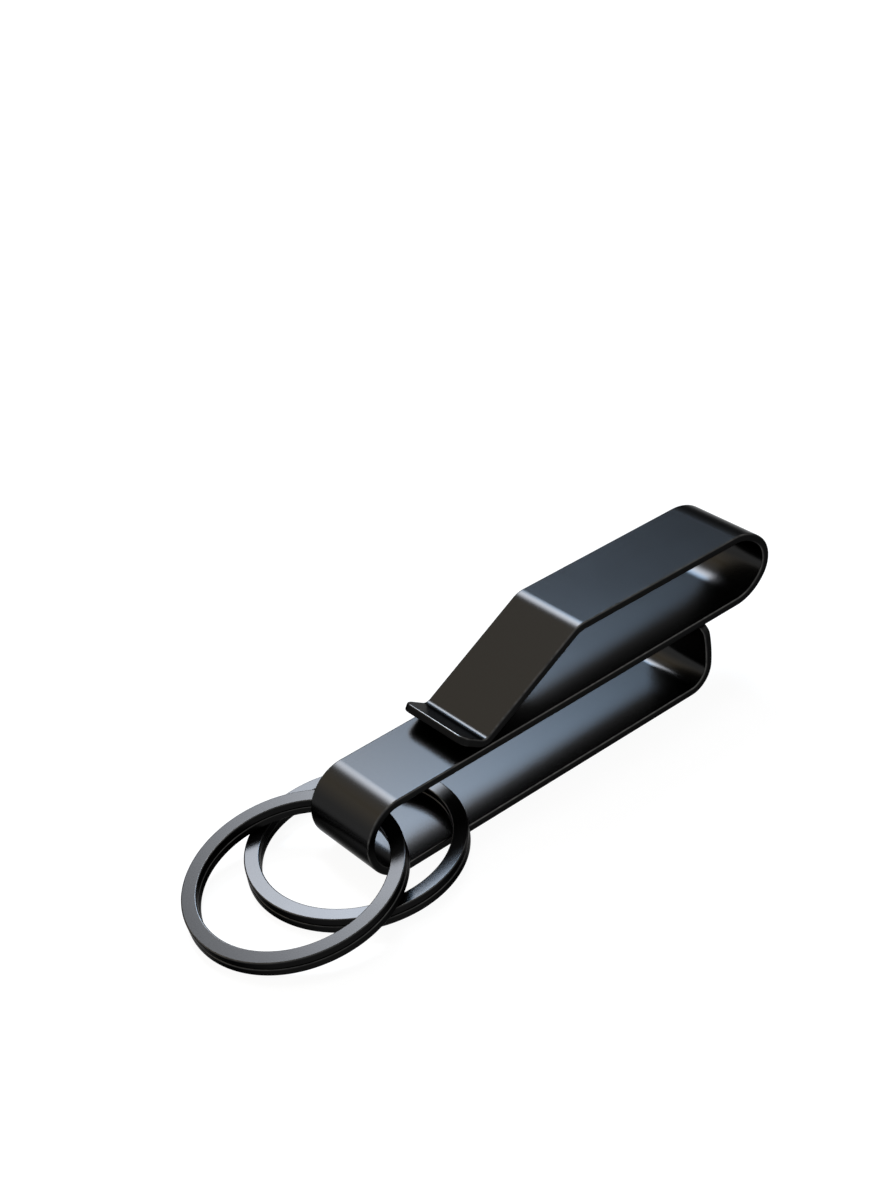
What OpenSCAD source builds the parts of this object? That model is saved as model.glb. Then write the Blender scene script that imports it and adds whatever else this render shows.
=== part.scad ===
// A belt key clip: one flat strip of black spring steel folded into two loops, and two split
// rings. The upper loop hooks over a belt, and the lower loop carries the rings.
// +X runs from the rings to the belt bend, +Y across the strip, +Z up.
// The origin is the middle of the flat underside that the clip lies on.

/* [Strip] */
// Width of the strip
strip_w = 12.6; // [10:0.1:16]
// Thickness of the strip
strip_t = 1.2; // [1:0.1:1.6]
// Radius of the strip's rounded long edges
edge_r = 0.3; // [0.1:0.05:0.45]

/* [Key loop] */
// Clear height inside the key loop
key_gap = 9.4; // [8.5:0.1:12]
// Length of the key leaf's flat underside
key_flat = 52.2; // [42:0.2:64]
// Outer radius of the corner where the tail turns up
tail_corner_r = 4.2; // [3:0.1:6]
// Angle through which that corner turns, in degrees
tail_corner_turn = 84; // [80:1:89]
// Outer radius of the tail's gentle inward curl
tail_curl_r = 22; // [14:0.5:40]
// Radius of the tail's two rounded tip corners
tail_tip_r = 1.8; // [0.5:0.1:3]
// Gap between the tail's tip and the middle leaf
gate_gap = 0.15; // [0.05:0.05:0.6]

/* [Belt loop] */
// Clear height of the belt loop at its rear
belt_gap = 8.9; // [7.5:0.1:12]
// Straight length of the middle leaf between its two bends
middle_flat = 61.8; // [54:0.1:76]
// Inner radius of the tight middle part of the belt bend
nose_r = 3.4; // [2.4:0.1:4]
// Angle of that tight part, in degrees
nose_turn = 76; // [60:1:100]
// Straight length of the belt arm's top
arm_flat = 28.5; // [20:0.1:36]
// Rise of the belt arm's top towards the lip, in degrees
arm_rise = 0.6; // [0:0.1:2]
// Slope of the ramp, in degrees
ramp_angle = 28; // [22:1:40]
// Inner radius of the bend between the top and the ramp
ramp_bend_r = 3; // [0.8:0.1:5]
// Inner radius of the crease between the ramp and the lip
crease_r = 1.2; // [0.2:0.1:2]
// Slope of the upturned lip, in degrees
lip_angle = 33; // [20:1:50]
// Straight length of the upturned lip
lip_len = 3.5; // [2.5:0.1:7]
// Radius of the lip's two rounded corners
lip_tip_r = 1.4; // [0.4:0.1:3]
// Gap between the crease and the middle leaf
lip_gap = 0.1; // [0.05:0.05:0.6]

/* [Split rings] */
// Outside diameter of each ring
ring_od = 30; // [28:0.5:34]
// Width of the flat wire, measured across the ring
wire_w = 2.1; // [1.6:0.1:2.6]
// Thickness of the flat wire
wire_t = 0.96; // [0.8:0.02:1.1]
// Gap between the ring's two coils
coil_gap = 0.44; // [0.42:0.02:0.6]
// Chamfer along the wire's four edges
wire_chamfer = 0.18; // [0.1:0.02:0.3]
// Angle over which the wire crosses from one coil to the other, in degrees
joggle_turn = 25; // [20:1:40]
// Where the front ring's crossing lies, in degrees from the clip's length
front_joggle_at = 17; // [0:1:360]
// Where the rear ring's crossing lies, in degrees from the clip's length
rear_joggle_at = 35; // [0:1:360]
// How far the rear ring's back lies behind the front bend's axis
rear_ring_setback = 10.8; // [9:0.1:14]
// Sideways place of the front ring
front_ring_side = -0.4; // [-1:0.1:1]
// Sideways place of the rear ring
rear_ring_side = 0.6; // [-1:0.1:1]
// Gap between the rear ring and the key leaf that it lies over
ring_gap = 0.3; // [0.1:0.05:0.6]

/* [Hidden] */
$fn = 96;

// Flats that round each long edge and each tip corner of the strip
edge_flats = 3;
tip_flats = 12;
// Steps in one turn of a ring's wire
ring_steps = 72;
// Angle left free between the crossing and each end of the wire, in degrees
wire_end_clear = 2;

// Length and height of the band over the seam after each bend
seam_len = 0.04;
seam_grow = 0.002;

// The bends' radii below are those of the strip's centre line
half_t = strip_t / 2;
front_bend_r = (key_gap + strip_t) / 2;
front_axis_x = -key_flat / 2;
front_axis_z = half_t + front_bend_r;
middle_z = strip_t + key_gap + half_t;
middle_top = middle_z + half_t;

// The tail's curl ends where its outer surface reaches the tip's height
tail_corner_c = tail_corner_r - half_t;
tail_curl_c = tail_curl_r - half_t;
tail_top = middle_top - strip_t - gate_gap;
corner_top = half_t + tail_corner_c * (1 - cos(tail_corner_turn));
curl_rise = tail_top - corner_top - tail_curl_c * cos(tail_corner_turn);
tail_curl_turn = asin(curl_rise / tail_curl_r) + 90 - tail_corner_turn;

// The belt bend is a tight nose between two gentle shoulders, alike, that share the rest of the turn
nose_c = nose_r + half_t;
shoulder_turn = 90 - nose_turn / 2;
nose_rise = 2 * nose_c * sin(nose_turn / 2);
shoulders_rise = belt_gap + strip_t - nose_rise;
lower_fall = 1 - cos(shoulder_turn);
upper_fall = cos(arm_rise) - cos(shoulder_turn);
shoulder_c = shoulders_rise / (lower_fall + upper_fall);
nose_x = front_axis_x + middle_flat + shoulder_c * sin(shoulder_turn) + nose_c * (1 - sin(shoulder_turn));
nose_z = middle_z + shoulder_c * lower_fall + nose_c * cos(shoulder_turn);

// The ramp is as long as brings the crease down to its gap above the middle leaf
ramp_bend_c = ramp_bend_r + half_t;
crease_c = crease_r + half_t;
arm_z = middle_z + belt_gap + strip_t;
ramp_drop = arm_z + arm_flat * sin(arm_rise) + ramp_bend_c * (cos(ramp_angle) - cos(arm_rise))
    - crease_c * (1 - cos(ramp_angle)) - half_t - lip_gap - middle_top;
ramp_len = ramp_drop / sin(ramp_angle);

// Both rings touch the ground in front. The front ring's back lies on the front bend's axis,
// and the rear ring's back lies just over the key leaf.
ring_r = ring_od / 2;
ring_h = 2 * wire_t + coil_gap;
wire_r = ring_r - wire_w / 2;
front_reach = ring_r + wire_r;
front_tilt = asin(front_axis_z / norm([front_reach, ring_h / 2])) - atan2(ring_h / 2, front_reach);
rear_tilt = asin((strip_t + ring_gap) / (2 * ring_r - wire_w));
rear_back_x = front_axis_x + rear_ring_setback;

// The points of one corner of a rectangle about the origin, rounded by short flats. The corners go
// round from the upper right.
function corner_signs() = [[1, 1], [-1, 1], [-1, -1], [1, -1]];
function rounded_corner(i, half_w, half_h, r, steps) =
    let (c = corner_signs()[i])
    [for (k = [0:steps]) let (a = 90 * (i + k / steps))
        [c[0] * (half_w - r) + r * cos(a), c[1] * (half_h - r) + r * sin(a)]];

// The strip's cross-section, with rounded long edges, grown all round by a margin
module strip_section(grow = 0) {
    polygon([for (i = [0:3])
        each rounded_corner(i, strip_w / 2 + grow, half_t + grow, edge_r + grow, edge_flats)]);
}

// A straight stretch of strip along +X
module straight(length) {
    rotate([90, 0, 90]) linear_extrude(length) strip_section();
}

// A bend from +X about the Y direction, up for a positive turn and down for a negative one
module bend(radius, turn) {
    mirror([0, 0, turn < 0 ? 1 : 0])
        translate([0, 0, radius])
            rotate([90, 90, 0])
                rotate_extrude(angle = abs(turn))
                    translate([radius, 0]) rotate(90) strip_section();
}

// Moves its children to the end of a straight stretch
module after_straight(length) {
    translate([length, 0, 0]) children();
}

// Moves and turns its children to the end of a bend, with a hair-thin band round the seam there, so
// that the two stretches join whatever the rounding of the bend's sine and cosine
module after_bend(radius, turn) {
    translate([radius * sin(abs(turn)), 0, sign(turn) * radius * (1 - cos(turn))])
        rotate([0, -turn, 0]) {
            translate([-seam_len / 2, 0, 0]) rotate([90, 0, 90])
                linear_extrude(seam_len) strip_section(seam_grow);
            children();
        }
}

// A plate across the strip, as long before the start as after it, whose two far corners are
// rounded, to trim a free end with
module tip_outline(length, depth, corner_r) {
    translate([0, 0, -depth / 2]) linear_extrude(depth)
        polygon([[-length, strip_w / 2], [-length, -strip_w / 2],
            each rounded_corner(3, length, strip_w / 2, corner_r, tip_flats),
            each rounded_corner(0, length, strip_w / 2, corner_r, tip_flats)]);
}

// The lower half of the front bend, the flat underside and the upturned tail
module key_leaf() {
    color([0.09, 0.09, 0.10]) {
        translate([front_axis_x, 0, half_t]) {
            mirror([1, 0, 0]) bend(front_bend_r, 90);
            straight(key_flat);
            after_straight(key_flat) {
                bend(tail_corner_c, tail_corner_turn);
                after_bend(tail_corner_c, tail_corner_turn) tail_curl();
            }
        }
    }
}

// The tail's curl, with its tip corners trimmed across the strip
module tail_curl() {
    intersection() {
        bend(tail_curl_c, tail_curl_turn);
        tip_outline(tail_curl_r * sin(tail_curl_turn), 2 * tail_corner_r, tail_tip_r);
    }
}

// The upper half of the front bend, the middle flat and the lower half of the belt bend
module middle_leaf() {
    color([0.10, 0.10, 0.11]) {
        translate([front_axis_x, 0, middle_z]) {
            mirror([1, 0, 0]) bend(front_bend_r, -90);
            straight(middle_flat);
            after_straight(middle_flat) {
                bend(shoulder_c, shoulder_turn);
                after_bend(shoulder_c, shoulder_turn) bend(nose_c, nose_turn / 2);
            }
        }
    }
}

// The upper half of the belt bend, the top, the ramp and the upturned lip
module belt_arm() {
    color([0.12, 0.12, 0.13]) {
        translate([nose_x, 0, nose_z]) rotate([0, -90, 0]) {
            bend(nose_c, nose_turn / 2);
            after_bend(nose_c, nose_turn / 2) {
                bend(shoulder_c, shoulder_turn - arm_rise);
                after_bend(shoulder_c, shoulder_turn - arm_rise) arm_top();
            }
        }
    }
}

// The belt arm from its flat top onwards, laid along +X with the belt above it
module arm_top() {
    ramp_turn = ramp_angle + arm_rise;
    lip_turn = ramp_angle + lip_angle;
    straight(arm_flat);
    after_straight(arm_flat) {
        bend(ramp_bend_c, ramp_turn);
        after_bend(ramp_bend_c, ramp_turn) {
            straight(ramp_len);
            after_straight(ramp_len) {
                bend(crease_c, -lip_turn);
                after_bend(crease_c, -lip_turn) intersection() {
                    straight(lip_len);
                    tip_outline(lip_len, 2 * strip_t, lip_tip_r);
                }
            }
        }
    }
}

// Height of a ring's wire after so many turns: the upper coil, the crossing, the lower coil
function ease(f) = f * f * (3 - 2 * f);
function crossing(turns) = min(1, max(0, (turns - 1) * 360 / joggle_turn + 1 / 2));
function wire_z(turns) = (1 / 2 - ease(crossing(turns))) * (wire_t + coil_gap);

// Corners of the wire's cross-section: distance from its middle across the ring, and height
function wire_corners() =
    let (a = wire_w / 2, b = wire_t / 2, c = wire_chamfer)
    [[a, c - b], [a, b - c], [a - c, b], [c - a, b], [-a, b - c], [-a, c - b], [c - a, -b], [a - c, -b]];

// The wire runs from just past the crossing on the upper coil to just before it on the lower one
function wire_steps() = floor(ring_steps * (2 - 2 * wire_start()));
function wire_start() = (joggle_turn / 2 + wire_end_clear) / 360;
function wire_turns(i) = wire_start() + (2 - 2 * wire_start()) * i / wire_steps();
function wire_point(i, p) =
    let (a = 360 * wire_turns(i), r = wire_r + p[0])
    [r * cos(a), r * sin(a), wire_z(wire_turns(i)) + p[1]];

// One split ring lying flat about the Z axis, with its crossing on +X
module split_ring() {
    corners = wire_corners();
    n = len(corners);
    last = wire_steps();
    points = [for (i = [0:last]) for (p = corners) wire_point(i, p)];
    sides = [for (i = [0:last - 1]) for (j = [0:n - 1])
        let (k = (j + 1) % n)
        each [[i * n + j, i * n + k, (i + 1) * n + k], [i * n + j, (i + 1) * n + k, (i + 1) * n + j]]];
    start = [for (j = [1:n - 2]) [0, j + 1, j]];
    end = [for (j = [1:n - 2]) [last * n, last * n + j, last * n + j + 1]];
    polyhedron(points, concat(sides, start, end));
}

// Places a ring, tipped up towards the back, with its front edge on the ground
module lay_ring(back_x, side, tilt, joggle_at) {
    centre_x = back_x - wire_r * cos(tilt);
    centre_z = ring_r * sin(tilt) + ring_h / 2 * cos(tilt);
    translate([centre_x, side, centre_z]) rotate([0, -tilt, 0]) rotate(joggle_at) split_ring();
}

module front_key_ring() {
    color([0.16, 0.16, 0.17]) lay_ring(front_axis_x, front_ring_side, front_tilt, front_joggle_at);
}

module rear_key_ring() {
    color([0.20, 0.20, 0.22]) lay_ring(rear_back_x, rear_ring_side, rear_tilt, rear_joggle_at);
}

// The least gap between the points of one of the wire's coils and the points of the other
function coil_points(low) =
    [for (i = [0:wire_steps()]) if ((wire_turns(i) > 1) == low) for (p = wire_corners()) wire_point(i, p)];
function least_gap() =
    let (lower = coil_points(true))
    min([for (a = coil_points(false)) for (b = lower)
        if (abs(a.x - b.x) < wire_w && abs(a.y - b.y) < wire_w && a.z - b.z > coil_gap / 2) norm(a - b)]);

key_leaf();
middle_leaf();
belt_arm();
front_key_ring();
rear_key_ring();
echo(least_gap_between_coils = least_gap());
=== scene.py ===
"""Looks for a belt key clip: one folded strip of black spring steel and two split rings."""

import logging
import math
from dataclasses import dataclass
from enum import Enum

import bpy
import numpy as np
from mathutils import Matrix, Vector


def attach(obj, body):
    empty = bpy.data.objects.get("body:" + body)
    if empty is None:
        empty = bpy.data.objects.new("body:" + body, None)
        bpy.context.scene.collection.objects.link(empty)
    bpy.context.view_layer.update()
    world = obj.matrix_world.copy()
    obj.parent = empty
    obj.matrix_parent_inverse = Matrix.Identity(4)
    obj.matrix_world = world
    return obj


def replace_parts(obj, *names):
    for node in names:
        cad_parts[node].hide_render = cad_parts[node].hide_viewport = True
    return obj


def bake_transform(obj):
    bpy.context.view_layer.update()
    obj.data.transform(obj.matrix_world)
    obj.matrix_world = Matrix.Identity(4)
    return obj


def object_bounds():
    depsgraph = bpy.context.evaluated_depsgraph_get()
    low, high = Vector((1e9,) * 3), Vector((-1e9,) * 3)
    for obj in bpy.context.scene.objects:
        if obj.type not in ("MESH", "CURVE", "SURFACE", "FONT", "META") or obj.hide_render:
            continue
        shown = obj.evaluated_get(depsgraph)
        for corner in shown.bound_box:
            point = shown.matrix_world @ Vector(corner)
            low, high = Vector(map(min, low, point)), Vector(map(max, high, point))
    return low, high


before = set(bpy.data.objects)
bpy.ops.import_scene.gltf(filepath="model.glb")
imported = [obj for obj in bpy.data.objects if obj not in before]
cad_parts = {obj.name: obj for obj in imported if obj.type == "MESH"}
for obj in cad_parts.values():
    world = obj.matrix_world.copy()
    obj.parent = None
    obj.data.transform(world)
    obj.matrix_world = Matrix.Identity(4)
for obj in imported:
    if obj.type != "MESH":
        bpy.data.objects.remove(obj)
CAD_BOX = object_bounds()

MM = 0.001
SAME_PLACE = 0.001 * MM
ACROSS = np.array([0.0, 1.0, 0.0])
HALF_TURN = 180.0
SIDE_ATTRIBUTE = "side"
# A Mix node has sockets for every kind of value, and these are the numbers of its colours.
MIX_FIRST, MIX_SECOND, MIX_RESULT = 6, 7, 2
Colour = tuple[float, float, float]
Point = tuple[float, float, float]
log = logging.getLogger("belt_key_clip")


class Slot(Enum):
    """The part's material slots."""

    STRIP = "strip"
    FRONT_RING = "front_ring"
    REAR_RING = "rear_ring"


# Shader expressions


def grey(level: float) -> tuple[float, float, float, float]:
    """An opaque grey of one level."""
    return (level, level, level, 1.0)


class Value:
    """A number in a node tree, with Python's operators turned into Math nodes."""

    def __init__(self, graph: "Graph", socket: bpy.types.NodeSocket) -> None:
        """Wraps one output socket of the graph."""
        self.graph = graph
        self.socket = socket

    def _math(self, operation: str, *terms: "Value | float") -> "Value":
        """The result of one Math node, whose inputs are the terms in order."""
        node = self.graph.node("ShaderNodeMath", {"operation": operation}, dict(enumerate(terms)))
        return Value(self.graph, node.outputs[0])

    def __add__(self, other: "Value | float") -> "Value":
        """The sum."""
        return self._math("ADD", self, other)

    __radd__ = __add__

    def __mul__(self, other: "Value | float") -> "Value":
        """The product."""
        return self._math("MULTIPLY", self, other)

    __rmul__ = __mul__

    def __sub__(self, other: "Value | float") -> "Value":
        """The difference."""
        return self._math("SUBTRACT", self, other)

    def __rsub__(self, other: float) -> "Value":
        """The difference, with the number first."""
        return self._math("SUBTRACT", other, self)

    def rise(self, start: float, end: float) -> "Value":
        """A smooth step.

        Args:
            start: the value up to which the result is zero.
            end: the value from which the result is one.

        Returns:
            The smooth step between the two.
        """
        node = self.graph.node(
            "ShaderNodeMapRange",
            {"interpolation_type": "SMOOTHSTEP"},
            {"Value": self, "From Min": start, "From Max": end},
        )
        return Value(self.graph, node.outputs["Result"])


class Graph:
    """The node tree of one material or of the world."""

    def __init__(self, tree: bpy.types.NodeTree) -> None:
        """Empties the tree and keeps it."""
        self.tree = tree
        self.tree.nodes.clear()

    def node(
        self, kind: str, settings: dict[str, object] | None = None, inputs: dict[object, object] | None = None
    ) -> bpy.types.Node:
        """Adds one node.

        Args:
            kind: the node's type.
            settings: properties of the node, set before its sockets.
            inputs: what each input socket holds or is linked to, by name or number.

        Returns:
            The new node.
        """
        node = self.tree.nodes.new(kind)
        for name, setting in (settings or {}).items():
            setattr(node, name, setting)
        for name, given in (inputs or {}).items():
            given = given.socket if isinstance(given, Value) else given
            if isinstance(given, bpy.types.NodeSocket):
                self.tree.links.new(given, node.inputs[name])
            else:
                node.inputs[name].default_value = given
        return node

    def place(self) -> bpy.types.NodeSocket:
        """The point of the surface in the object's own coordinates, in metres."""
        return self.node("ShaderNodeTexCoord").outputs["Object"]

    def carried(self, attribute: str) -> Value:
        """A number that the mesh carries at its points."""
        node = self.node("ShaderNodeAttribute", {"attribute_name": attribute})
        return Value(self, node.outputs["Fac"])

    def noise(self, place: bpy.types.NodeSocket, size: float, detail: float = 2.0) -> Value:
        """Soft random patches.

        Args:
            place: where on the surface.
            size: about how wide a patch is, in metres.
            detail: how many finer layers are added.

        Returns:
            A value about one half, mostly between 0.3 and 0.7.
        """
        inputs = {"Vector": place, "Scale": 1 / size, "Detail": detail}
        node = self.node("ShaderNodeTexNoise", inputs=inputs)
        return Value(self, node.outputs[0])

    def blend(
        self, share: Value, low: bpy.types.NodeSocket | Colour, high: bpy.types.NodeSocket | Colour
    ) -> bpy.types.NodeSocket:
        """A colour between two colours.

        Args:
            share: how much of the second colour, from zero to one.
            low: the first colour.
            high: the second colour.

        Returns:
            The blended colour's socket.
        """
        low, high = ((*end, 1.0) if isinstance(end, tuple) else end for end in (low, high))
        inputs = {"Factor": share, MIX_FIRST: low, MIX_SECOND: high}
        return self.node("ShaderNodeMix", {"data_type": "RGBA"}, inputs).outputs[MIX_RESULT]


# Finishes


@dataclass(frozen=True)
class BlackenedSteel:
    """Satin black finish on spring steel.

    The flats are smooth with a fine even grain. The narrow sheared sides are duller, and their
    darker colour is painted shade, a dark reflection laid into the colour. On the roundings
    between them the finish is worn a little thin in patches, and that lighter colour, kept on the
    part of each rounding next to the flats, is also a painted highlight along the edges. The mesh
    carries how far its surface has turned from the flats to the sides, from zero to one. Each pair
    of numbers is where along that turn, or along the strength of a patch of wear and highlight, a
    change starts and is complete.
    """

    name: str
    # Lighter rounding colour: partly the finish worn thin, partly a painted highlight along the edges.
    rubbed_and_highlight: Colour
    flat: Colour = (0.020, 0.020, 0.020)
    # Darker side colour: painted shade, a dark reflection laid into the sheared sides' colour.
    side: Colour = (0.007, 0.007, 0.007)
    flat_roughness: float = 0.24
    side_roughness: float = 0.34
    glancing_tint: float = 0.4
    rub_and_highlight_strength: float = 0.5
    grain_size: float = 0.16 * MM
    grain_depth: float = 0.0004 * MM
    grain_gloss: float = 0.03
    mottle_size: float = 5.0 * MM
    mottle_gloss: float = 0.03
    rub_and_highlight_size: float = 0.9 * MM
    patch_detail: float = 3.0
    patch_middle: float = 0.5
    side_starts: tuple[float, float] = (0.45, 1.0)
    rub_and_highlight_starts: tuple[float, float] = (0.04, 0.16)
    rub_and_highlight_stops: tuple[float, float] = (0.4, 0.7)
    rub_and_highlight_patches: tuple[float, float] = (0.15, 0.85)

    def build(self) -> bpy.types.Material:
        """Makes the material.

        Returns:
            The material, with colour, roughness and grain driven by nodes.
        """
        material = bpy.data.materials.new(self.name)
        material.use_nodes = True
        graph = Graph(material.node_tree)
        place = graph.place()
        turned = graph.carried(SIDE_ATTRIBUTE)
        mottle = graph.noise(place, self.mottle_size, self.patch_detail) - self.patch_middle
        grain = graph.noise(place, self.grain_size)
        patches = graph.noise(place, self.rub_and_highlight_size, self.patch_detail).rise(*self.rub_and_highlight_patches)
        sheared = turned.rise(*self.side_starts)
        # The band next to the flats on each rounding, where worn patches and a painted highlight lighten the
        # colour.
        rounding = turned.rise(*self.rub_and_highlight_starts) * (1 - turned.rise(*self.rub_and_highlight_stops))
        # Painted shade: the sheared sides take the darker side colour.
        coat_and_side_shade = graph.blend(sheared, self.flat, self.side)
        # Worn patches and painted highlight on the roundings.
        colour = graph.blend(rounding * patches * self.rub_and_highlight_strength, coat_and_side_shade, self.rubbed_and_highlight)
        dull = self.flat_roughness + sheared * (self.side_roughness - self.flat_roughness)
        roughness = dull + mottle * self.mottle_gloss + (grain - self.patch_middle) * self.grain_gloss
        bump = graph.node("ShaderNodeBump", inputs={"Distance": self.grain_depth, "Height": grain})
        shader = graph.node(
            "ShaderNodeBsdfPrincipled",
            inputs={
                "Base Color": colour,
                "Metallic": 1.0,
                "Roughness": roughness,
                "Specular Tint": grey(self.glancing_tint),
                "Normal": bump.outputs["Normal"],
            },
        )
        graph.node("ShaderNodeOutputMaterial", inputs={"Surface": shader.outputs["BSDF"]})
        return material


# Shapes


@dataclass(frozen=True)
class Skin:
    """A closed surface as whole arrays, ready to become a mesh.

    The surface is a grid of stations by points round the section, closed round the section, with
    one cap at each end. Where an end's normal is None, its cap keeps the grid's own normals.
    """

    points: np.ndarray
    normals: np.ndarray
    side: np.ndarray
    start_normal: np.ndarray | None
    end_normal: np.ndarray | None
    across_caps: bool

    def cap(self, row: int) -> np.ndarray:
        """The faces that close one end.

        Across caps join each point of one side profile to its twin on the other side, and a plain
        cap is one face round the whole section.

        Args:
            row: the station that the cap closes.

        Returns:
            The faces, as rows of point numbers.
        """
        count = self.points.shape[1]
        first = row * count
        if not self.across_caps:
            return first + np.arange(count)[None, :]
        j = np.arange(count // 2 - 1)
        return first + np.stack([j, j + 1, count - 2 - j, count - 1 - j], axis=1)

    def walls(self) -> np.ndarray:
        """The four-sided faces between each station and the next.

        Returns:
            The faces, as rows of point numbers.
        """
        rows, count = self.points.shape[:2]
        i, j = np.meshgrid(np.arange(rows - 1) * count, np.arange(count), indexing="ij")
        k = (j + 1) % count
        return np.stack([i + j, i + k, i + count + k, i + count + j], -1).reshape(-1, 4)

    def build(self, name: str) -> bpy.types.Object:
        """Makes the mesh object with exact normals at every corner.

        Args:
            name: the piece's name.

        Returns:
            The new object, linked to the scene, at the origin.
        """
        walls, start, end = self.walls(), self.cap(0)[:, ::-1], self.cap(len(self.points) - 1)
        points = self.points.reshape(-1, 3)
        a, b, c = points[walls[:, 0]], points[walls[:, 1]], points[walls[:, 2]]
        if np.einsum("ij,ij->", a - points.mean(0), np.cross(b - a, c - a)) < 0:
            walls, start, end = walls[:, ::-1], start[:, ::-1], end[:, ::-1]
        corners = np.concatenate([walls.ravel(), start.ravel(), end.ravel()])
        normals = self.normals.reshape(-1, 3)[corners]
        if self.start_normal is not None:
            normals[walls.size : walls.size + start.size] = self.start_normal
        if self.end_normal is not None:
            normals[walls.size + start.size :] = self.end_normal
        mesh = bpy.data.meshes.new(name)
        mesh.from_pydata(points, [], [*walls.tolist(), *start.tolist(), *end.tolist()])
        mesh.polygons.foreach_set("use_smooth", np.ones(len(mesh.polygons), bool))
        mesh.normals_split_custom_set(normals)
        attribute = mesh.attributes.new(SIDE_ATTRIBUTE, "FLOAT", "POINT")
        attribute.data.foreach_set("value", self.side.astype(np.float32).ravel())
        piece = bpy.data.objects.new(name, mesh)
        bpy.context.scene.collection.objects.link(piece)
        return piece


@dataclass(frozen=True)
class Stretch:
    """One stretch of the strip's centre line: straight, or a bend of one radius.

    A positive turn goes to the left of the run, and a negative one to the right.
    """

    length: float = 0.0
    radius: float = 0.0
    turn: float = 0.0

    @property
    def run(self) -> float:
        """Length along the centre line."""
        return self.length if self.radius == 0 else self.radius * abs(math.radians(self.turn))

    @property
    def curve(self) -> float:
        """Turn per metre of run, in radians."""
        return 0.0 if self.radius == 0 else math.copysign(1 / self.radius, self.turn)


@dataclass(frozen=True)
class CentreLine:
    """The strip's centre line in the X-Z plane, from a start point and a heading through stretches.

    Along each stretch the heading grows evenly with the run, and the point moves by the sine and
    cosine integrals of the heading, which have a closed form on a circle and on a straight. The
    stations' runs are rounded to a number of digits, so that the place where two stretches meet is
    one station.
    """

    start: tuple[float, float]
    heading: float
    stretches: tuple[Stretch, ...]
    run_digits: int = 9

    def knots(self) -> tuple[np.ndarray, np.ndarray, np.ndarray, np.ndarray]:
        """Where the stretches start.

        Returns:
            Run, point, heading in radians and turn per metre at the start of each stretch. The
            first three have the line's end appended.
        """
        run, x, z, heading = [0.0], [self.start[0]], [self.start[1]], [math.radians(self.heading)]
        for stretch in self.stretches:
            dx, dz = self.step(stretch.run, stretch.curve, heading[-1])
            x.append(x[-1] + float(dx))
            z.append(z[-1] + float(dz))
            heading.append(heading[-1] + stretch.curve * stretch.run)
            run.append(run[-1] + stretch.run)
        curve = np.array([s.curve for s in self.stretches])
        return np.array(run), np.stack([x, z], 1), np.array(heading), curve

    @staticmethod
    def step(run: np.ndarray, curve: np.ndarray, heading: np.ndarray) -> tuple[np.ndarray, np.ndarray]:
        """How far a run of even curve moves the point.

        Args:
            run: length of the run.
            curve: turn per metre.
            heading: heading at its start, in radians.

        Returns:
            The move along X and along Z. The chord of an arc is the run times the sine of half the
            turn over half the turn, and it points along the heading at the arc's middle.
        """
        half = np.asarray(run * curve / 2)
        chord = run * np.sinc(half / np.pi)
        return chord * np.cos(heading + half), chord * np.sin(heading + half)

    def at(self, run: np.ndarray) -> tuple[np.ndarray, np.ndarray, np.ndarray]:
        """Points and headings at any runs.

        Args:
            run: distances along the centre line, of any shape.

        Returns:
            X, Z and heading, each of the same shape.
        """
        knots, points, headings, curves = self.knots()
        k = np.clip(np.searchsorted(knots, run, side="right") - 1, 0, len(curves) - 1)
        dx, dz = self.step(run - knots[k], curves[k], headings[k])
        return points[k, 0] + dx, points[k, 1] + dz, headings[k] + curves[k] * (run - knots[k])

    def stations(self, turn_step: float, longest: float) -> np.ndarray:
        """Runs at which the section is placed: closer together in bends than on straights.

        Args:
            turn_step: the most that a bend turns between two stations, in degrees.
            longest: the longest run between two stations.

        Returns:
            The runs in rising order, with every knot among them.
        """
        knots = self.knots()[0]
        counts = [max(abs(s.turn) / turn_step if s.radius else 1, s.run / longest) for s in self.stretches]
        parts = [np.linspace(a, b, 1 + math.ceil(n)) for a, b, n in zip(knots, knots[1:], counts)]
        return np.unique(np.round(np.concatenate(parts), self.run_digits))


def both_sides(right: np.ndarray, left: np.ndarray) -> np.ndarray:
    """Joins the two side profiles of a swept strip into one round of points per station."""
    return np.concatenate([right, left[:, ::-1]], 1)


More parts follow.
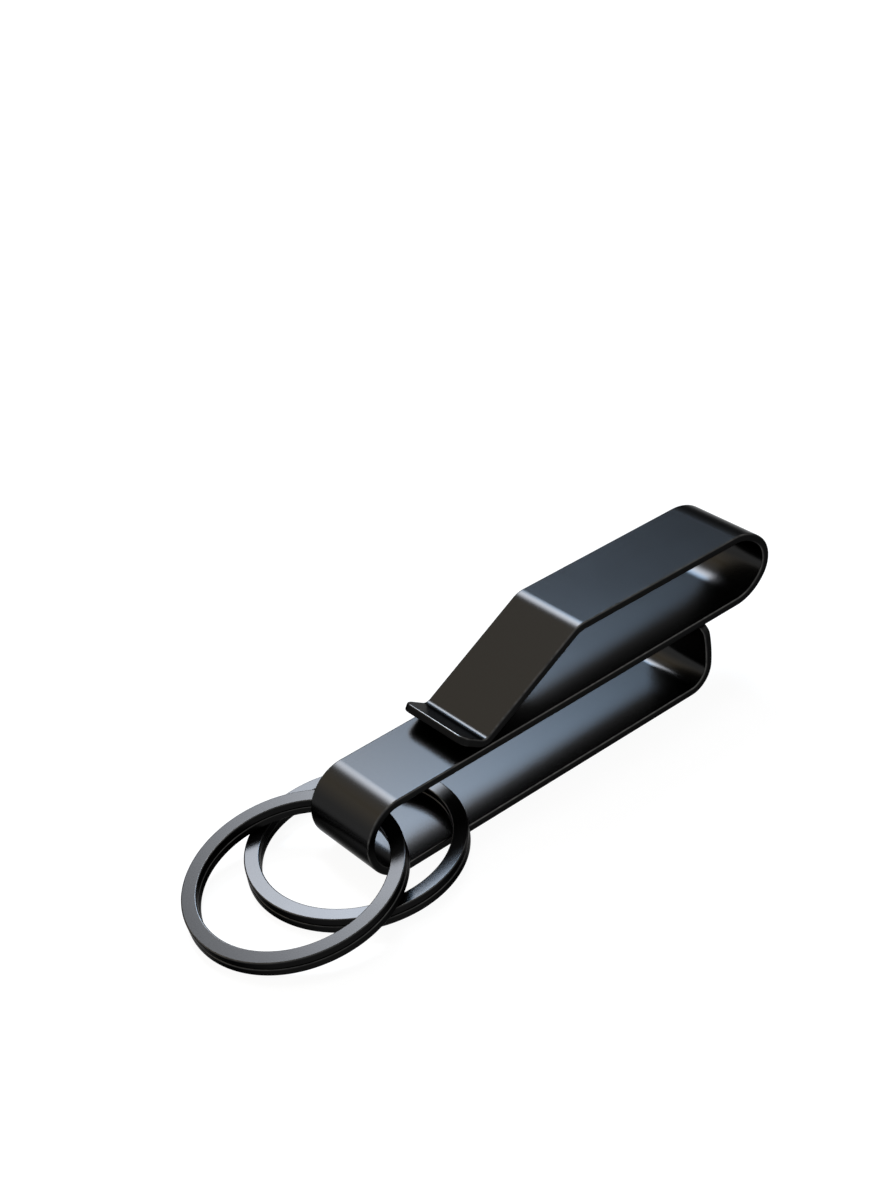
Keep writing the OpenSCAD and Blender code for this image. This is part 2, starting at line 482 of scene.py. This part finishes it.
@dataclass(frozen=True)
class Strip:
    """The flat strip's section and how finely it is drawn."""

    width: float = 12.6 * MM
    thickness: float = 1.2 * MM
    edge_radius: float = 0.3 * MM
    edge_steps: int = 7
    tip_steps: int = 12
    turn_step: float = 1.5
    longest_step: float = 3.0 * MM

    def profile(self) -> tuple[np.ndarray, np.ndarray, np.ndarray]:
        """One long edge of the strip from its top to its underside.

        Returns:
            Height, inset from the full width, and angle of the surface's normal above level. The
            two corners are quarter circles, and the inset is the radius less its cosine share.
        """
        quarter = np.linspace(np.pi / 2, 0, self.edge_steps)
        angle = np.concatenate([quarter, -quarter[::-1]])
        half = np.where(np.arange(len(angle)) < self.edge_steps, 1, -1)
        height = half * (self.thickness / 2 - self.edge_radius) + self.edge_radius * np.sin(angle)
        return height, self.edge_radius * (1 - np.cos(angle)), angle

    def stations(self, line: CentreLine, tip_radius: float) -> tuple[np.ndarray, np.ndarray]:
        """Where along the line the section is placed.

        Args:
            line: the centre line.
            tip_radius: radius of the rounded corners at the far end, or zero for a square cut.

        Returns:
            Runs along the line, and at each the turn of the strip's outline in the plan view: zero
            along the strip, and a quarter circle in even steps where the corners of a free end are.
        """
        run = line.stations(self.turn_step, self.longest_step)
        if tip_radius == 0:
            return run, np.zeros(len(run))
        corner = run[-1] - tip_radius
        run = run[run < corner - SAME_PLACE]
        quarter = np.linspace(0, np.pi / 2, self.tip_steps + 1)
        turn = np.concatenate([np.zeros(len(run)), quarter])
        return np.concatenate([run, np.full(len(quarter), corner)]), turn

    def sweep(self, line: CentreLine, tip_radius: float = 0.0) -> Skin:
        """Carries the section along a centre line.

        At a free end the plan view turns through a quarter circle of the tip's radius at each
        corner: a point of the edge profile with inset d lies at the radius less d times the sine
        of the turn beyond the corner's centre, and as much times the cosine out to the side.

        Args:
            line: the centre line.
            tip_radius: radius of the rounded corners at the far end, or zero for a square cut.

        Returns:
            The closed surface.
        """
        height, inset, angle = self.profile()
        run, turn = self.stations(line, tip_radius)
        run, turn = run[:, None], turn[:, None]
        along = run + np.where(turn > 0, tip_radius - inset, 0.0) * np.sin(turn)
        out = self.width / 2 - tip_radius + (tip_radius - inset) * np.cos(turn)
        x, z, heading = line.at(along)
        flat = np.zeros_like(heading)
        tangent = np.stack([np.cos(heading), flat, np.sin(heading)], -1)
        upward = np.stack([-np.sin(heading), flat, np.cos(heading)], -1)
        centre = np.stack([x, flat, z], -1) + upward * height[:, None]
        reach = out[..., None] * ACROSS
        lift = np.sin(angle)[:, None] * upward + (np.sin(turn) * np.cos(angle))[..., None] * tangent
        sideways = (np.cos(turn) * np.cos(angle))[..., None] * ACROSS
        side = np.broadcast_to(1 - np.abs(angle) / (np.pi / 2), along.shape)
        return Skin(
            points=both_sides(centre + reach, centre - reach),
            normals=both_sides(lift + sideways, lift - sideways),
            side=both_sides(side, side),
            start_normal=-tangent[0, 0],
            end_normal=None if tip_radius else tangent[-1, 0],
            across_caps=True,
        )


# The clip's sub-assemblies


@dataclass
class SpringStrip:
    """The one bent strip: key leaf, front bend, middle leaf, belt bend and belt arm.

    The two bends are pieces of their own, fixed in place and attached to no body.
    """

    strip: Strip
    finish: BlackenedSteel
    front_bend_x: float = -26.1 * MM
    key_leaf_z: float = 0.6 * MM
    front_bend_radius: float = 5.3 * MM
    key_flat: float = 52.2 * MM
    tail_corner_radius: float = 3.6 * MM
    tail_corner_turn: float = 84.0
    tail_curl_radius: float = 21.4 * MM
    tail_curl_turn: float = 17.509
    tail_tip_radius: float = 1.8 * MM
    middle_flat: float = 61.8 * MM
    shoulder_radius: float = 6.7324 * MM
    shoulder_turn: float = 52.0
    nose_radius: float = 4.0 * MM
    nose_turn: float = 76.0
    arm_rise: float = 0.6
    arm_flat: float = 28.5 * MM
    ramp_bend_radius: float = 3.6 * MM
    ramp_angle: float = 28.0
    ramp_length: float = 18.034 * MM
    crease_radius: float = 1.8 * MM
    lip_angle: float = 33.0
    lip_length: float = 3.5 * MM
    lip_tip_radius: float = 1.4 * MM

    @property
    def middle_leaf_z(self) -> float:
        """Height of the middle leaf's centre line."""
        return self.key_leaf_z + 2 * self.front_bend_radius

    @property
    def belt_bend_line(self) -> CentreLine:
        """The belt bend's centre line: a tight nose between two gentle shoulders.

        Returns:
            The line, from the middle leaf's end to where the belt arm starts.
        """
        start = (self.front_bend_x + self.middle_flat, self.middle_leaf_z)
        stretches = (
            Stretch(radius=self.shoulder_radius, turn=self.shoulder_turn),
            Stretch(radius=self.nose_radius, turn=self.nose_turn),
            Stretch(radius=self.shoulder_radius, turn=self.shoulder_turn - self.arm_rise),
        )
        return CentreLine(start, 0.0, stretches)

    def key_leaf(self) -> bpy.types.Object:
        """The flat underside and the upturned tail.

        Returns:
            The piece.
        """
        stretches = (
            Stretch(length=self.key_flat),
            Stretch(radius=self.tail_corner_radius, turn=self.tail_corner_turn),
            Stretch(radius=self.tail_curl_radius, turn=self.tail_curl_turn),
        )
        line = CentreLine((self.front_bend_x, self.key_leaf_z), 0.0, stretches)
        piece = self.strip.sweep(line, self.tail_tip_radius).build("key_leaf_strip")
        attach(piece, "key_leaf")
        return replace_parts(piece, "key_leaf")

    def front_bend(self) -> bpy.types.Object:
        """The half turn that the rings hang on.

        Returns:
            The piece.
        """
        bend = Stretch(radius=self.front_bend_radius, turn=HALF_TURN)
        line = CentreLine((self.front_bend_x, self.middle_leaf_z), HALF_TURN, (bend,))
        piece = self.strip.sweep(line).build("front_bend_strip")
        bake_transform(piece)
        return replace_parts(piece, "key_leaf", "middle_leaf")

    def middle_leaf(self) -> bpy.types.Object:
        """The long flat between the two bends.

        Returns:
            The piece.
        """
        flat = Stretch(length=self.middle_flat)
        line = CentreLine((self.front_bend_x, self.middle_leaf_z), 0.0, (flat,))
        piece = self.strip.sweep(line).build("middle_leaf_strip")
        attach(piece, "middle_leaf")
        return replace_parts(piece, "middle_leaf")

    def belt_bend(self) -> bpy.types.Object:
        """The round end of the belt loop.

        Returns:
            The piece.
        """
        line = self.belt_bend_line
        x, z = line.knots()[1][-1]
        piece = self.strip.sweep(line).build("belt_bend_strip")
        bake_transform(piece)
        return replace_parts(piece, "middle_leaf", "belt_arm")

    def belt_arm(self) -> bpy.types.Object:
        """The top, the ramp and the upturned lip.

        Returns:
            The piece.
        """
        _, points, headings, _ = self.belt_bend_line.knots()
        stretches = (
            Stretch(length=self.arm_flat),
            Stretch(radius=self.ramp_bend_radius, turn=self.arm_rise + self.ramp_angle),
            Stretch(length=self.ramp_length),
            Stretch(radius=self.crease_radius, turn=-self.ramp_angle - self.lip_angle),
            Stretch(length=self.lip_length),
        )
        line = CentreLine(tuple(points[-1]), math.degrees(headings[-1]), stretches)
        piece = self.strip.sweep(line, self.lip_tip_radius).build("belt_arm_strip")
        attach(piece, "belt_arm")
        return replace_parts(piece, "belt_arm")

    def build(self) -> list[bpy.types.Object]:
        """Builds and dresses all five stretches.

        Returns:
            The pieces, in order along the strip.
        """
        pieces = [self.key_leaf(), self.front_bend(), self.middle_leaf(), self.belt_bend(), self.belt_arm()]
        material = self.finish.build()
        for piece in pieces:
            piece.data.materials.append(material)
        return pieces


@dataclass
class SplitRing:
    """A split ring: two turns of flat wire, with one crossing where the wire steps down a turn.

    Its far side rests on the ground, and its back is raised by a tilt, in degrees, about the line
    across the clip. Its place is that of the wire's middle line at the back, and the crossing is at
    an angle round the ring from the back, in degrees.
    """

    node: str
    slot: Slot
    finish: BlackenedSteel
    back_x: float
    sideways: float
    tilt: float
    crossing_at: float
    outer_radius: float = 14.99 * MM
    wire_width: float = 2.1 * MM
    wire_thickness: float = 1.12 * MM
    ring_height: float = 2.36 * MM
    corner_radius: float = 0.2 * MM
    end_radius: float = 0.15 * MM
    crossing_turn: float = 25.0
    end_clear: float = 2.0
    step: float = 1.5
    corner_steps: int = 5
    end_steps: int = 3

    @property
    def middle_radius(self) -> float:
        """Radius of the wire's middle line."""
        return self.outer_radius - self.wire_width / 2

    def section(self) -> tuple[np.ndarray, np.ndarray, np.ndarray]:
        """The wire's section: a rectangle with quarter-circle corners.

        Returns:
            Points and outward normals, across the ring and upwards, and how far each normal has
            turned from the flats to the ring's walls, from zero to one.
        """
        quarter = np.linspace(0, np.pi / 2, self.corner_steps)
        angle = (np.arange(4)[:, None] * np.pi / 2 + quarter).ravel()
        sign_a = np.repeat([1, -1, -1, 1], self.corner_steps)
        sign_b = np.repeat([1, 1, -1, -1], self.corner_steps)
        a = sign_a * (self.wire_width / 2 - self.corner_radius) + self.corner_radius * np.cos(angle)
        b = sign_b * (self.wire_thickness / 2 - self.corner_radius) + self.corner_radius * np.sin(angle)
        wall = np.arccos(np.abs(np.sin(angle)).clip(0, 1)) / (np.pi / 2)
        return np.stack([a, b], 1), np.stack([np.cos(angle), np.sin(angle)], 1), wall

    def stations(self) -> tuple[np.ndarray, np.ndarray]:
        """Where round the ring the section is placed.

        Returns:
            Angles from the crossing, through two turns, and at each the angle of the end rounding:
            zero along the wire, and up to a quarter circle at the cut at either end.
        """
        first = math.radians(self.crossing_turn / 2 + self.end_clear)
        last = 4 * np.pi - first
        back = self.end_radius / self.middle_radius
        turn = np.linspace(first + back, last - back, 1 + math.ceil(math.degrees(last - first) / self.step))
        rounding = np.linspace(np.pi / 2, 0, self.end_steps + 1)[:-1]
        opening = turn[0] - back * np.sin(rounding)
        closing = turn[-1] + back * np.sin(rounding[::-1])
        cut = np.concatenate([-rounding, np.zeros(len(turn)), rounding[::-1]])
        return np.concatenate([opening, turn, closing]), cut

    def wire_height(self, turn: np.ndarray) -> tuple[np.ndarray, np.ndarray]:
        """Height of the wire's middle round the ring.

        The height eases from the upper coil to the lower one by three times the square less twice
        the cube of the share of the crossing that lies behind.

        Args:
            turn: angles from the crossing, in radians.

        Returns:
            The height, and its slope per radian.
        """
        crossing = math.radians(self.crossing_turn)
        share = np.clip((turn - 2 * np.pi) / crossing + 0.5, 0, 1)
        drop = self.ring_height - self.wire_thickness
        height = (0.5 - share * share * (3 - 2 * share)) * drop
        return height, -6 * share * (1 - share) / crossing * drop

    def skin(self) -> Skin:
        """Carries the section round two turns, with rounded cuts at both ends of the wire.

        At a cut, the end rounding moves the section on by the radius times the sine of an angle
        and draws it in by the radius less its cosine share.

        Returns:
            The closed surface, tilted and in its place.
        """
        section, out, wall = self.section()
        turn, cut = self.stations()
        height, slope = self.wire_height(turn)
        rise = (slope / self.middle_radius)[:, None]
        inset = self.end_radius * (1 - np.cos(cut))
        local = section - inset[:, None, None] * out
        radius = self.middle_radius + local[..., 0]
        level = height[:, None] + local[..., 1]
        keep, go = np.cos(cut)[:, None], np.sin(cut)[:, None]
        lean = out[:, 1] * rise
        size = np.sqrt(1 + lean**2)
        n_across, n_up, n_along = out[:, 0] / size * keep, out[:, 1] / size * keep, go - lean / size * keep
        angle = (turn + math.radians(self.crossing_at))[:, None]
        cos, sin = np.cos(angle), np.sin(angle)
        points = np.stack([radius * cos, radius * sin, level], -1)
        normals = np.stack([n_across * cos - n_along * sin, n_across * sin + n_along * cos, n_up], -1)
        tangent = np.concatenate([-sin, cos, rise], 1)
        tilt = math.radians(self.tilt)
        turned = np.array(Matrix.Rotation(-tilt, 3, "Y")).T
        low = self.outer_radius * math.sin(tilt) + self.ring_height / 2 * math.cos(tilt)
        centre = np.array([self.back_x - self.middle_radius * math.cos(tilt), self.sideways, low])
        return Skin(
            points=points @ turned + centre,
            normals=normals @ turned,
            side=np.broadcast_to(wall, radius.shape),
            start_normal=-tangent[0] @ turned,
            end_normal=tangent[-1] @ turned,
            across_caps=False,
        )

    def build(self) -> list[bpy.types.Object]:
        """Builds and dresses the ring.

        Returns:
            The one piece, its wire.
        """
        piece = self.skin().build(self.node + "_wire")
        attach(piece, self.node)
        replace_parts(piece, self.node)
        piece.data.materials.append(self.finish.build())
        return [piece]


# The studio


@dataclass(frozen=True)
class SoftPanel:
    """A round light panel that is brightest in its middle and fades evenly to its rim.

    It is a stack of round lamps of evenly growing radius and equal brightness, each a little behind
    the last, so the brightness falls by one equal step at each rim. Azimuth runs from +Y towards +X
    and elevation is above level, both in degrees, and the reach is the panel's half angle.
    """

    name: str
    azimuth: float
    elevation: float
    reach: float
    radiance: float
    colour: Colour
    distance: float = 3.0
    layers: int = 9
    layer_gap: float = 0.001

    def build(self, aim: Point) -> None:
        """Hangs the panel.

        A round lamp of one brightness has an energy of that brightness times its area times pi.

        Args:
            aim: the point that it faces.
        """
        a, e = math.radians(self.azimuth), math.radians(self.elevation)
        out = np.array([math.sin(a) * math.cos(e), math.cos(a) * math.cos(e), math.sin(e)])
        level = np.array([math.cos(a), -math.sin(a), 0.0])
        turn = Matrix(np.stack([level, np.cross(out, level), out], 1).tolist()).to_4x4()
        for layer in range(1, self.layers + 1):
            name = f"{self.name}_{layer}"
            distance = self.distance + layer * self.layer_gap
            radius = distance * math.tan(math.radians(self.reach * layer / self.layers))
            light = bpy.data.lights.new(name, "AREA")
            light.shape = "DISK"
            light.size = 2 * radius
            light.energy = self.radiance / self.layers * math.pi * math.pi * radius**2
            light.color = self.colour
            lamp = bpy.data.objects.new(name, light)
            lamp.matrix_world = Matrix.Translation(np.array(aim) + distance * out) @ turn
            bpy.context.scene.collection.objects.link(lamp)


@dataclass
class Studio:
    """The camera, the pale floor and the soft light.

    The camera's azimuth is its heading's turn about +Z from +Y towards -X, its elevation is how far
    it looks down, and its roll is its turn about the line of sight, all in degrees.
    """

    camera_place: Point = (-0.141199, -0.183008, 0.175658)
    azimuth: float = -35.34
    elevation: float = 32.53
    roll: float = -7.43
    lens: float = 62.64
    sensor: float = 36.0
    nearest: float = 0.01
    farthest: float = 50.0
    floor_size: float = 6.0
    floor_albedo: float = 0.12
    floor_glow: float = 0.94
    ambient: float = 0.15
    aim: Point = (0.0, 0.0, 0.01)
    panels: tuple[SoftPanel, ...] = (
        SoftPanel(
            "window_panel", azimuth=24.0, elevation=45.5, reach=13.0, radiance=47.0, colour=(0.95, 1.0, 1.1)
        ),
        SoftPanel(
            "sky_panel", azimuth=38.5, elevation=46.0, reach=8.5, radiance=42.0, colour=(0.6, 1.0, 1.5)
        ),
        SoftPanel(
            "top_panel", azimuth=40.0, elevation=72.0, reach=13.0, radiance=14.0, colour=(0.97, 1.0, 1.04)
        ),
        SoftPanel(
            "wall_panel", azimuth=-34.0, elevation=44.0, reach=34.0, radiance=0.9, colour=(1.2, 0.88, 0.42)
        ),
        SoftPanel(
            "side_panel", azimuth=150.0, elevation=30.0, reach=20.0, radiance=2.2, colour=(1.0, 1.0, 1.0)
        ),
    )

    def camera(self) -> None:
        """Sets up the camera at the photograph's viewing angle."""
        data = bpy.data.cameras.new("camera")
        data.lens, data.sensor_width, data.sensor_fit = self.lens, self.sensor, "AUTO"
        data.clip_start, data.clip_end = self.nearest, self.farthest
        a, e, r = (math.radians(v) for v in (self.azimuth, self.elevation, self.roll))
        forward = np.array([-math.sin(a) * math.cos(e), math.cos(a) * math.cos(e), -math.sin(e)])
        level = np.array([math.cos(a), math.sin(a), 0.0])
        down = np.cross(forward, level)
        right = math.cos(r) * level - math.sin(r) * down
        below = math.sin(r) * level + math.cos(r) * down
        turn = Matrix(np.stack([right, -below, -forward], 1).tolist()).to_4x4()
        camera = bpy.data.objects.new("camera", data)
        camera.matrix_world = Matrix.Translation(self.camera_place) @ turn
        bpy.context.scene.collection.objects.link(camera)
        bpy.context.scene.camera = camera

    @staticmethod
    def seen_directly(graph: Graph) -> Value:
        """One for camera, glossy and transmission rays, and zero for the others.

        Args:
            graph: the node tree that asks.

        Returns:
            The value in that tree.
        """
        path = graph.node("ShaderNodeLightPath")
        names = ("Is Camera Ray", "Is Glossy Ray", "Is Transmission Ray")
        direct, mirrored, passed = (Value(graph, path.outputs[name]) for name in names)
        return (direct + mirrored + passed).rise(0.0, 1.0)

    def floor(self) -> None:
        """Lays the pale floor, which keeps the clip's soft shadow."""
        half = self.floor_size / 2
        low = CAD_BOX[0][2]
        mesh = bpy.data.meshes.new("floor")
        corners = [(-half, -half, low), (half, -half, low), (half, half, low), (-half, half, low)]
        mesh.from_pydata(corners, [], [(0, 1, 2, 3)])
        floor = bpy.data.objects.new("floor", mesh)
        bpy.context.scene.collection.objects.link(floor)
        material = bpy.data.materials.new("pale_floor")
        material.use_nodes = True
        graph = Graph(material.node_tree)
        matt = graph.node("ShaderNodeBsdfDiffuse", inputs={"Color": grey(self.floor_albedo)})
        strength = self.seen_directly(graph) * self.floor_glow
        glow = graph.node("ShaderNodeEmission", inputs={"Strength": strength})
        both = graph.node("ShaderNodeAddShader", inputs={0: matt.outputs[0], 1: glow.outputs[0]})
        graph.node("ShaderNodeOutputMaterial", inputs={"Surface": both.outputs[0]})
        mesh.materials.append(material)

    def world(self) -> None:
        """A white surround that lights the clip softly."""
        world = bpy.data.worlds.new("surround")
        bpy.context.scene.world = world
        world.use_nodes = True
        graph = Graph(world.node_tree)
        strength = self.seen_directly(graph) * (1 - self.ambient) + self.ambient
        back = graph.node("ShaderNodeBackground", inputs={"Color": grey(1.0), "Strength": strength})
        graph.node("ShaderNodeOutputWorld", inputs={"Surface": back.outputs[0]})

    def build(self) -> None:
        """Makes the camera first, then the floor, the surround and the panels."""
        self.camera()
        self.floor()
        self.world()
        bpy.context.scene.view_settings.view_transform = "Standard"
        for panel in self.panels:
            panel.build(self.aim)


def main() -> None:
    """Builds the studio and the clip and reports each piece."""
    logging.basicConfig(level=logging.INFO, format="%(name)s: %(message)s")
    Studio().build()
    # Lighter rounding colours: partly wear, partly a painted highlight along the edges.
    strip_finish = BlackenedSteel("blackened_strip", rubbed_and_highlight=(0.11, 0.107, 0.102))
    wire_finish = BlackenedSteel("blackened_wire", rubbed_and_highlight=(0.08, 0.078, 0.075))
    parts = [
        SpringStrip(Strip(), strip_finish),
        SplitRing(
            "front_key_ring",
            Slot.FRONT_RING,
            wire_finish,
            back_x=-26.1 * MM,
            sideways=-0.4 * MM,
            tilt=9.415,
            crossing_at=17.0,
        ),
        SplitRing(
            "rear_key_ring",
            Slot.REAR_RING,
            wire_finish,
            back_x=-15.3 * MM,
            sideways=0.6 * MM,
            tilt=3.082,
            crossing_at=35.0,
        ),
    ]
    for part in parts:
        for piece in part.build():
            log.info("%s: %d faces", piece.name, len(piece.data.polygons))


if __name__ == "__main__":
    main()
